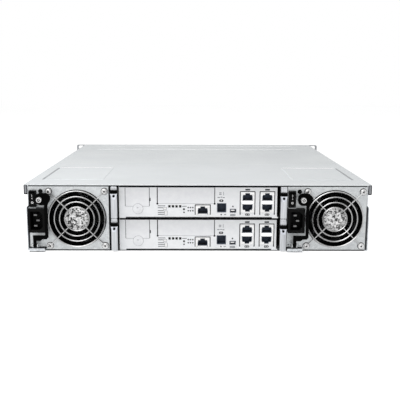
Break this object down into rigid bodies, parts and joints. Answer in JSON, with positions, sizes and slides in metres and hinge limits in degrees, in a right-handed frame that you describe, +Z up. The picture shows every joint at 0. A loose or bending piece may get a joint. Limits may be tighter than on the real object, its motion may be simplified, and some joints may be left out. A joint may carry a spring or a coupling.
{
  "type": "disk shelf enclosure",
  "caption": "Two-unit rack disk shelf: drives in front, twin fan-cooled power supplies and twin controller canisters behind, each sliding out on its own lever.",
  "frame": {"origin": "centre of the flat underside of the chassis", "axes": "+X to the right seen from behind, +Y from the power supplies towards the drive bays at the front, +Z up"},
  "size_m": [0.482, 0.5241, 0.0877],
  "materials": {
    "galvanised_steel": "zinc-coated sheet",
    "cover_paint": "pale grey satin coat",
    "ear_paint": "mid grey satin coat",
    "circuit_board": "green solder mask",
    "zinc_steel": "speckled zinc-coated sheet",
    "canister_paint": "pale grey satin coat",
    "black_plastic": "moulded, fine grain",
    "chrome_wire": "bright plated wire",
    "black_lever": "black satin coat",
    "nickel": "nickel plated",
    "port_metal": "tin-plated port shields on a green board",
    "handle_steel": "bright zinc plate with black collar",
    "carrier_plastic": "moulded bezel with a metal-cased disk behind",
    "latch_plastic": "moulded, satin"
  },
  "bodies": {
    "chassis": {"chassis_tray": "galvanised_steel", "rear_cover": "cover_paint", "front_cover": "cover_paint", "rack_ear_left": "ear_paint", "rack_ear_right": "ear_paint", "drive_cage": "galvanised_steel", "canister_cage": "galvanised_steel", "midplane_board": "circuit_board"},
    "psu_left": {"psu_left_casing": "zinc_steel", "psu_left_fan_frame": "black_plastic", "psu_left_fan_guard": "chrome_wire", "psu_left_power_entry": "black_plastic"},
    "psu_left_lever": {"psu_left_lever": "black_lever"},
    "psu_left_thumbscrew": {"psu_left_thumbscrew": "nickel"},
    "psu_left_rocker": {"psu_left_rocker": "black_plastic"},
    "psu_left_fan_rotor": {"psu_left_fan_rotor": "black_plastic"},
    "psu_right": {"psu_right_casing": "zinc_steel", "psu_right_fan_frame": "black_plastic", "psu_right_fan_guard": "chrome_wire", "psu_right_power_entry": "black_plastic"},
    "psu_right_lever": {"psu_right_lever": "black_lever"},
    "psu_right_thumbscrew": {"psu_right_thumbscrew": "nickel"},
    "psu_right_rocker": {"psu_right_rocker": "black_plastic"},
    "psu_right_fan_rotor": {"psu_right_fan_rotor": "black_plastic"},
    "controller_a": {"controller_a_housing": "canister_paint", "controller_a_board": "port_metal", "controller_a_slot_cover": "canister_paint"},
    "controller_a_battery": {"controller_a_battery": "canister_paint"},
    "controller_a_handle_left": {"controller_a_handle_left": "handle_steel"},
    "controller_a_handle_right": {"controller_a_handle_right": "handle_steel"},
    "controller_b": {"controller_b_housing": "canister_paint", "controller_b_board": "port_metal", "controller_b_slot_cover": "canister_paint"},
    "controller_b_battery": {"controller_b_battery": "canister_paint"},
    "controller_b_handle_left": {"controller_b_handle_left": "handle_steel"},
    "controller_b_handle_right": {"controller_b_handle_right": "handle_steel"},
    "drive_01": {"drive_01_carrier": "carrier_plastic"},
    "drive_01_latch": {"drive_01_latch": "latch_plastic"},
    "drive_02": {"drive_02_carrier": "carrier_plastic"},
    "drive_02_latch": {"drive_02_latch": "latch_plastic"},
    "drive_03": {"drive_03_carrier": "carrier_plastic"},
    "drive_03_latch": {"drive_03_latch": "latch_plastic"},
    "drive_04": {"drive_04_carrier": "carrier_plastic"},
    "drive_04_latch": {"drive_04_latch": "latch_plastic"},
    "drive_05": {"drive_05_carrier": "carrier_plastic"},
    "drive_05_latch": {"drive_05_latch": "latch_plastic"},
    "drive_06": {"drive_06_carrier": "carrier_plastic"},
    "drive_06_latch": {"drive_06_latch": "latch_plastic"},
    "drive_07": {"drive_07_carrier": "carrier_plastic"},
    "drive_07_latch": {"drive_07_latch": "latch_plastic"},
    "drive_08": {"drive_08_carrier": "carrier_plastic"},
    "drive_08_latch": {"drive_08_latch": "latch_plastic"},
    "drive_09": {"drive_09_carrier": "carrier_plastic"},
    "drive_09_latch": {"drive_09_latch": "latch_plastic"},
    "drive_10": {"drive_10_carrier": "carrier_plastic"},
    "drive_10_latch": {"drive_10_latch": "latch_plastic"},
    "drive_11": {"drive_11_carrier": "carrier_plastic"},
    "drive_11_latch": {"drive_11_latch": "latch_plastic"},
    "drive_12": {"drive_12_carrier": "carrier_plastic"},
    "drive_12_latch": {"drive_12_latch": "latch_plastic"}
  },
  "joints": [
    {"name": "psu_left_slide", "type": "slide", "parent": "chassis", "child": "psu_left", "axis": [0, -1, 0], "range_m": [0, 0.28]},
    {"name": "psu_left_lever_hinge", "type": "hinge", "parent": "psu_left", "child": "psu_left_lever", "pos_m": [-0.2089, -0.2603, 0.00935], "axis": [1, 0, 0], "range_deg": [0, 85]},
    {"name": "psu_left_thumbscrew_turn", "type": "hinge", "parent": "psu_left_lever", "child": "psu_left_thumbscrew", "pos_m": [-0.1999, -0.262, 0.07045], "axis": [0, 1, 0], "continuous": true},
    {"name": "psu_left_rocker_hinge", "type": "hinge", "parent": "psu_left", "child": "psu_left_rocker", "pos_m": [-0.21205, -0.2508, 0.0692], "axis": [1, 0, 0], "range_deg": [-16, 0]},
    {"name": "psu_left_fan_spin", "type": "hinge", "parent": "psu_left", "child": "psu_left_fan_rotor", "pos_m": [-0.1561, -0.238, 0.04245], "axis": [0, 1, 0], "continuous": true},
    {"name": "psu_right_slide", "type": "slide", "parent": "chassis", "child": "psu_right", "axis": [0, -1, 0], "range_m": [0, 0.28]},
    {"name": "psu_right_lever_hinge", "type": "hinge", "parent": "psu_right", "child": "psu_right_lever", "pos_m": [0.124, -0.2603, 0.00935], "axis": [1, 0, 0], "range_deg": [0, 85]},
    {"name": "psu_right_thumbscrew_turn", "type": "hinge", "parent": "psu_right_lever", "child": "psu_right_thumbscrew", "pos_m": [0.133, -0.262, 0.07045], "axis": [0, 1, 0], "continuous": true},
    {"name": "psu_right_rocker_hinge", "type": "hinge", "parent": "psu_right", "child": "psu_right_rocker", "pos_m": [0.12085, -0.2508, 0.0692], "axis": [1, 0, 0], "range_deg": [-16, 0]},
    {"name": "psu_right_fan_spin", "type": "hinge", "parent": "psu_right", "child": "psu_right_fan_rotor", "pos_m": [0.1768, -0.238, 0.04245], "axis": [0, 1, 0], "continuous": true},
    {"name": "controller_a_slide", "type": "slide", "parent": "chassis", "child": "controller_a", "axis": [0, -1, 0], "range_m": [0, 0.28]},
    {"name": "controller_a_battery_slide", "type": "slide", "parent": "controller_a", "child": "controller_a_battery", "axis": [0, -1, 0], "range_m": [0, 0.1]},
    {"name": "controller_a_handle_left_hinge", "type": "hinge", "parent": "controller_a", "child": "controller_a_handle_left", "pos_m": [-0.1074, -0.2545, 0.04855], "axis": [1, 0, 0], "range_deg": [0, 70]},
    {"name": "controller_a_handle_right_hinge", "type": "hinge", "parent": "controller_a", "child": "controller_a_handle_right", "pos_m": [0.1094, -0.2545, 0.04855], "axis": [1, 0, 0], "range_deg": [0, 70]},
    {"name": "controller_b_slide", "type": "slide", "parent": "chassis", "child": "controller_b", "axis": [0, -1, 0], "range_m": [0, 0.28]},
    {"name": "controller_b_battery_slide", "type": "slide", "parent": "controller_b", "child": "controller_b_battery", "axis": [0, -1, 0], "range_m": [0, 0.1]},
    {"name": "controller_b_handle_left_hinge", "type": "hinge", "parent": "controller_b", "child": "controller_b_handle_left", "pos_m": [-0.1074, -0.2545, 0.00605], "axis": [1, 0, 0], "range_deg": [0, 70]},
    {"name": "controller_b_handle_right_hinge", "type": "hinge", "parent": "controller_b", "child": "controller_b_handle_right", "pos_m": [0.1094, -0.2545, 0.00605], "axis": [1, 0, 0], "range_deg": [0, 70]},
    {"name": "drive_01_slide", "type": "slide", "parent": "chassis", "child": "drive_01", "axis": [0, 1, 0], "range_m": [0, 0.15]},
    {"name": "drive_01_latch_hinge", "type": "hinge", "parent": "drive_01", "child": "drive_01_latch", "pos_m": [-0.2084, 0.2473, 0.01543], "axis": [0, 0, 1], "range_deg": [0, 60]},
    {"name": "drive_02_slide", "type": "slide", "parent": "chassis", "child": "drive_02", "axis": [0, 1, 0], "range_m": [0, 0.15]},
    {"name": "drive_02_latch_hinge", "type": "hinge", "parent": "drive_02", "child": "drive_02_latch", "pos_m": [-0.09975, 0.2473, 0.01543], "axis": [0, 0, 1], "range_deg": [0, 60]},
    {"name": "drive_03_slide", "type": "slide", "parent": "chassis", "child": "drive_03", "axis": [0, 1, 0], "range_m": [0, 0.15]},
    {"name": "drive_03_latch_hinge", "type": "hinge", "parent": "drive_03", "child": "drive_03_latch", "pos_m": [0.0089, 0.2473, 0.01543], "axis": [0, 0, 1], "range_deg": [0, 60]},
    {"name": "drive_04_slide", "type": "slide", "parent": "chassis", "child": "drive_04", "axis": [0, 1, 0], "range_m": [0, 0.15]},
    {"name": "drive_04_latch_hinge", "type": "hinge", "parent": "drive_04", "child": "drive_04_latch", "pos_m": [0.11755, 0.2473, 0.01543], "axis": [0, 0, 1], "range_deg": [0, 60]},
    {"name": "drive_05_slide", "type": "slide", "parent": "chassis", "child": "drive_05", "axis": [0, 1, 0], "range_m": [0, 0.15]},
    {"name": "drive_05_latch_hinge", "type": "hinge", "parent": "drive_05", "child": "drive_05_latch", "pos_m": [-0.2084, 0.2473, 0.0435], "axis": [0, 0, 1], "range_deg": [0, 60]},
    {"name": "drive_06_slide", "type": "slide", "parent": "chassis", "child": "drive_06", "axis": [0, 1, 0], "range_m": [0, 0.15]},
    {"name": "drive_06_latch_hinge", "type": "hinge", "parent": "drive_06", "child": "drive_06_latch", "pos_m": [-0.09975, 0.2473, 0.0435], "axis": [0, 0, 1], "range_deg": [0, 60]},
    {"name": "drive_07_slide", "type": "slide", "parent": "chassis", "child": "drive_07", "axis": [0, 1, 0], "range_m": [0, 0.15]},
    {"name": "drive_07_latch_hinge", "type": "hinge", "parent": "drive_07", "child": "drive_07_latch", "pos_m": [0.0089, 0.2473, 0.0435], "axis": [0, 0, 1], "range_deg": [0, 60]},
    {"name": "drive_08_slide", "type": "slide", "parent": "chassis", "child": "drive_08", "axis": [0, 1, 0], "range_m": [0, 0.15]},
    {"name": "drive_08_latch_hinge", "type": "hinge", "parent": "drive_08", "child": "drive_08_latch", "pos_m": [0.11755, 0.2473, 0.0435], "axis": [0, 0, 1], "range_deg": [0, 60]},
    {"name": "drive_09_slide", "type": "slide", "parent": "chassis", "child": "drive_09", "axis": [0, 1, 0], "range_m": [0, 0.15]},
    {"name": "drive_09_latch_hinge", "type": "hinge", "parent": "drive_09", "child": "drive_09_latch", "pos_m": [-0.2084, 0.2473, 0.07157], "axis": [0, 0, 1], "range_deg": [0, 60]},
    {"name": "drive_10_slide", "type": "slide", "parent": "chassis", "child": "drive_10", "axis": [0, 1, 0], "range_m": [0, 0.15]},
    {"name": "drive_10_latch_hinge", "type": "hinge", "parent": "drive_10", "child": "drive_10_latch", "pos_m": [-0.09975, 0.2473, 0.07157], "axis": [0, 0, 1], "range_deg": [0, 60]},
    {"name": "drive_11_slide", "type": "slide", "parent": "chassis", "child": "drive_11", "axis": [0, 1, 0], "range_m": [0, 0.15]},
    {"name": "drive_11_latch_hinge", "type": "hinge", "parent": "drive_11", "child": "drive_11_latch", "pos_m": [0.0089, 0.2473, 0.07157], "axis": [0, 0, 1], "range_deg": [0, 60]},
    {"name": "drive_12_slide", "type": "slide", "parent": "chassis", "child": "drive_12", "axis": [0, 1, 0], "range_m": [0, 0.15]},
    {"name": "drive_12_latch_hinge", "type": "hinge", "parent": "drive_12", "child": "drive_12_latch", "pos_m": [0.11755, 0.2473, 0.07157], "axis": [0, 0, 1], "range_deg": [0, 60]}
  ]
}
